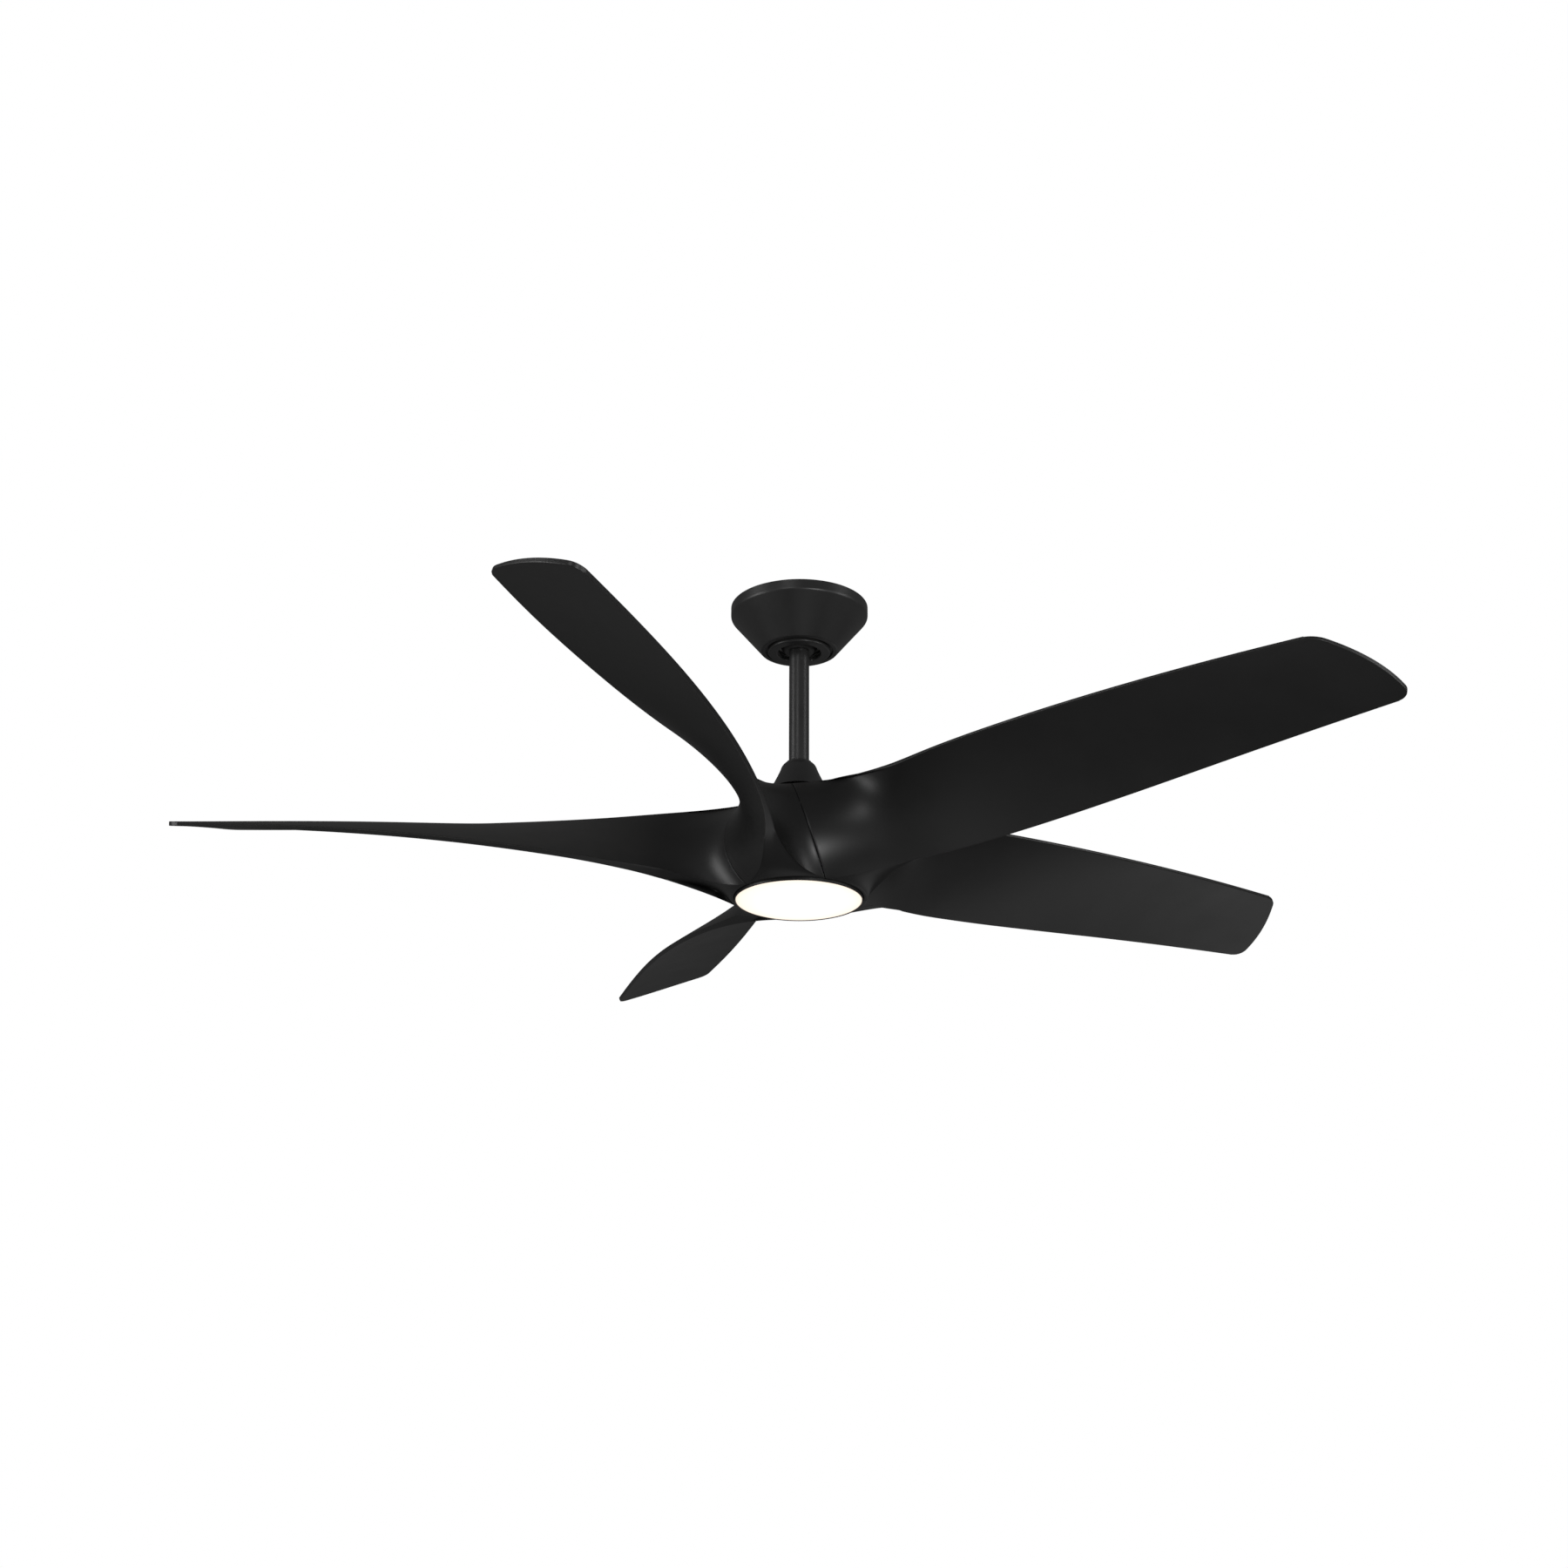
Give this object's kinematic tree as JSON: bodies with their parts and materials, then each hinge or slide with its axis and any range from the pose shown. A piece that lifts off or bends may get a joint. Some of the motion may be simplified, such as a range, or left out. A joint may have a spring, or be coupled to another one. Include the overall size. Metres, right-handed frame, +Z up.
{
  "type": "ceiling fan with light",
  "caption": "Ceiling fan on a short downrod: pitched blades whose roots form the hub shell, a conical canopy with a tilting ball hanger, and a shallow round light below.",
  "frame": {"origin": "on the fan's axis at the ceiling, the centre of the hanger bracket's screw slots on its top face", "axes": "+Z up to the ceiling, the fan's axis is Z, and X runs along the hanger bracket"},
  "size_m": [1.4342, 1.4967, 0.4075],
  "materials": {
    "zinc_plated_steel": "bright zinc plate",
    "satin_black_metal": "satin black powder coat",
    "black_screw_steel": "black oxide",
    "green_screw": "green earth screw",
    "receiver_plastic": "moulded black housing",
    "ball_nylon": "dark moulded nylon, smooth",
    "shaft_steel": "ground steel",
    "lead_insulation": "wire insulation",
    "lamination_steel": "stacked laminations",
    "copper_winding": "enamelled copper wire",
    "bearing_steel": "polished bearing steel",
    "cage_nylon": "natural nylon",
    "circuit_board": "green solder mask",
    "cast_aluminium": "die cast, as cast",
    "magnet_ferrite": "sintered magnet",
    "pan_aluminium": "pressed sheet",
    "led_board_white": "white solder mask",
    "led_phosphor": "yellow phosphor",
    "satin_black_plastic": "satin black moulding",
    "opal_lens": "frosted opal, lit warm white",
    "blade_plastic": "satin near-black moulding, fine texture"
  },
  "bodies": {
    "ceiling_mount": {"hanger_bracket": "zinc_plated_steel", "canopy": "satin_black_metal", "canopy_ring": "satin_black_metal", "canopy_screws": "black_screw_steel", "earth_screw": "green_screw", "receiver_module": "receiver_plastic"},
    "ball_key": {"registration_pin": "zinc_plated_steel"},
    "hanging_core": {"hanger_ball": "ball_nylon", "ball_cross_pin": "zinc_plated_steel", "ball_set_screw": "black_screw_steel", "downrod": "satin_black_metal", "coupling_cover": "satin_black_metal", "rod_coupling": "zinc_plated_steel", "coupling_bolt": "zinc_plated_steel", "coupling_cotter": "zinc_plated_steel", "coupling_set_screws": "black_screw_steel", "motor_shaft": "shaft_steel", "shaft_nut": "zinc_plated_steel", "supply_leads": "lead_insulation", "stator_core": "lamination_steel", "stator_windings": "copper_winding", "bearing_inner_races": "bearing_steel", "motor_driver_board": "circuit_board", "light_pan": "pan_aluminium", "led_board": "led_board_white", "led_chips": "led_phosphor", "led_board_screws": "zinc_plated_steel", "led_driver": "receiver_plastic", "lens_ring": "satin_black_plastic"},
    "bearing_cage_set": {"bearing_balls": "bearing_steel", "bearing_cages": "cage_nylon"},
    "rotor": {"rotor_housing_upper": "cast_aluminium", "rotor_housing_lower": "cast_aluminium", "housing_screws": "zinc_plated_steel", "magnet_ring": "magnet_ferrite", "bearing_outer_races": "bearing_steel", "blade_1": "blade_plastic", "blade_2": "blade_plastic", "blade_3": "blade_plastic", "blade_4": "blade_plastic", "blade_5": "blade_plastic", "blade_screws": "black_screw_steel"},
    "lens_body": {"lens": "opal_lens"}
  },
  "joints": [
    {"name": "hanger_tilt_x", "type": "hinge", "parent": "ceiling_mount", "child": "ball_key", "pos_m": [0, 0, -0.044], "axis": [1, 0, 0], "range_deg": [-10, 10]},
    {"name": "hanger_tilt_y", "type": "hinge", "parent": "ball_key", "child": "hanging_core", "pos_m": [0, 0, -0.044], "axis": [0, 1, 0], "range_deg": [-10, 10]},
    {"name": "rotor_spin", "type": "hinge", "parent": "hanging_core", "child": "rotor", "pos_m": [0, 0, -0.334], "axis": [0, 0, 1], "continuous": true},
    {"name": "bearing_cage_spin", "type": "hinge", "parent": "hanging_core", "child": "bearing_cage_set", "pos_m": [0, 0, -0.334], "axis": [0, 0, 1], "continuous": true},
    {"name": "lens_twist", "type": "hinge", "parent": "hanging_core", "child": "lens_body", "pos_m": [0, 0, -0.396], "axis": [0, 0, 1], "range_deg": [0, 24]}
  ],
  "couplings": [
    {"joint": "bearing_cage_spin", "follows": "rotor_spin", "ratio": 0.6088}
  ]
}
